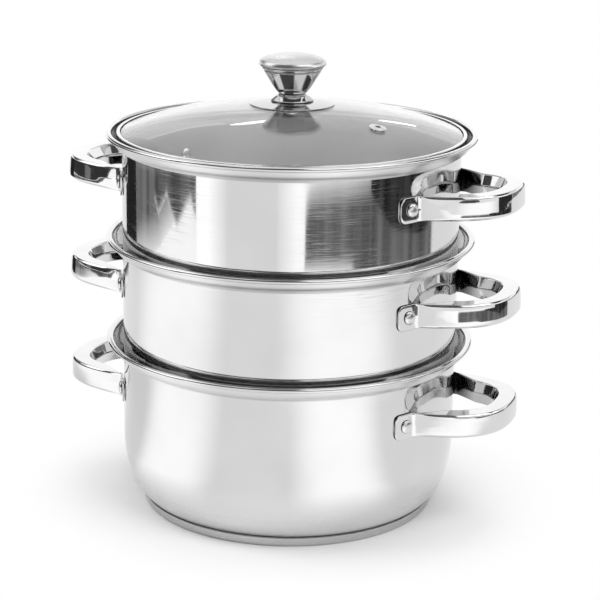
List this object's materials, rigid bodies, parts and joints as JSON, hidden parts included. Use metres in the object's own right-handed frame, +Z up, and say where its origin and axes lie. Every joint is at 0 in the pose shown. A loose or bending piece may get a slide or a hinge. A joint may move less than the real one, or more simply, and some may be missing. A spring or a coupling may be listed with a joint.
{
  "type": "momo steamer",
  "caption": "Stacked stainless momo steamer: pot with clad base, perforated steaming tiers that nest in its rim, loop handles and a vented domed glass lid with a knob.",
  "frame": {"origin": "centre of the pot's base, on the surface that it stands on", "axes": "+Z up along the axis of the stack, +X towards the right-hand handles, +Y away from the front"},
  "size_m": [0.3388, 0.2644, 0.3278],
  "materials": {
    "vessel_steel": "mirror polished with a fine turned grain",
    "base_steel": "satin",
    "core_aluminium": "as pressed",
    "handle_steel": "mirror polished",
    "rivet_steel": "bright",
    "band_steel": "mirror polished",
    "knob_steel": "mirror polished",
    "knob_satin_steel": "satin",
    "lid_glass": "clear tempered",
    "gasket_rubber": "matte"
  },
  "bodies": {
    "pot": {"base_cap": "base_steel", "base_core": "core_aluminium", "pot_shell": "vessel_steel", "pot_handle_right": "handle_steel", "pot_handle_left": "handle_steel", "pot_rivet_right_front": "rivet_steel", "pot_rivet_right_back": "rivet_steel", "pot_rivet_left_front": "rivet_steel", "pot_rivet_left_back": "rivet_steel"},
    "lower_steamer": {"lower_steamer_shell": "vessel_steel", "lower_steamer_handle_right": "handle_steel", "lower_steamer_handle_left": "handle_steel", "lower_steamer_rivet_right_front": "rivet_steel", "lower_steamer_rivet_right_back": "rivet_steel", "lower_steamer_rivet_left_front": "rivet_steel", "lower_steamer_rivet_left_back": "rivet_steel"},
    "upper_steamer": {"upper_steamer_shell": "vessel_steel", "upper_steamer_handle_right": "handle_steel", "upper_steamer_handle_left": "handle_steel", "upper_steamer_rivet_right_front": "rivet_steel", "upper_steamer_rivet_right_back": "rivet_steel", "upper_steamer_rivet_left_front": "rivet_steel", "upper_steamer_rivet_left_back": "rivet_steel"},
    "lid": {"lid_glass": "lid_glass", "lid_band": "band_steel", "vent_eyelet": "rivet_steel", "knob_plate": "knob_satin_steel", "knob_foot": "knob_steel", "knob_body": "knob_steel", "knob_cap": "knob_satin_steel", "knob_screw": "rivet_steel", "screw_washer": "rivet_steel", "knob_gasket": "gasket_rubber"}
  },
  "joints": [
    {"name": "lower_steamer_lift", "type": "slide", "parent": "pot", "child": "lower_steamer", "axis": [0, 0, 1], "range_m": [0, 0.12]},
    {"name": "upper_steamer_lift", "type": "slide", "parent": "lower_steamer", "child": "upper_steamer", "axis": [0, 0, 1], "range_m": [0, 0.12]},
    {"name": "lid_lift", "type": "slide", "parent": "upper_steamer", "child": "lid", "axis": [0, 0, 1], "range_m": [0, 0.1]}
  ]
}
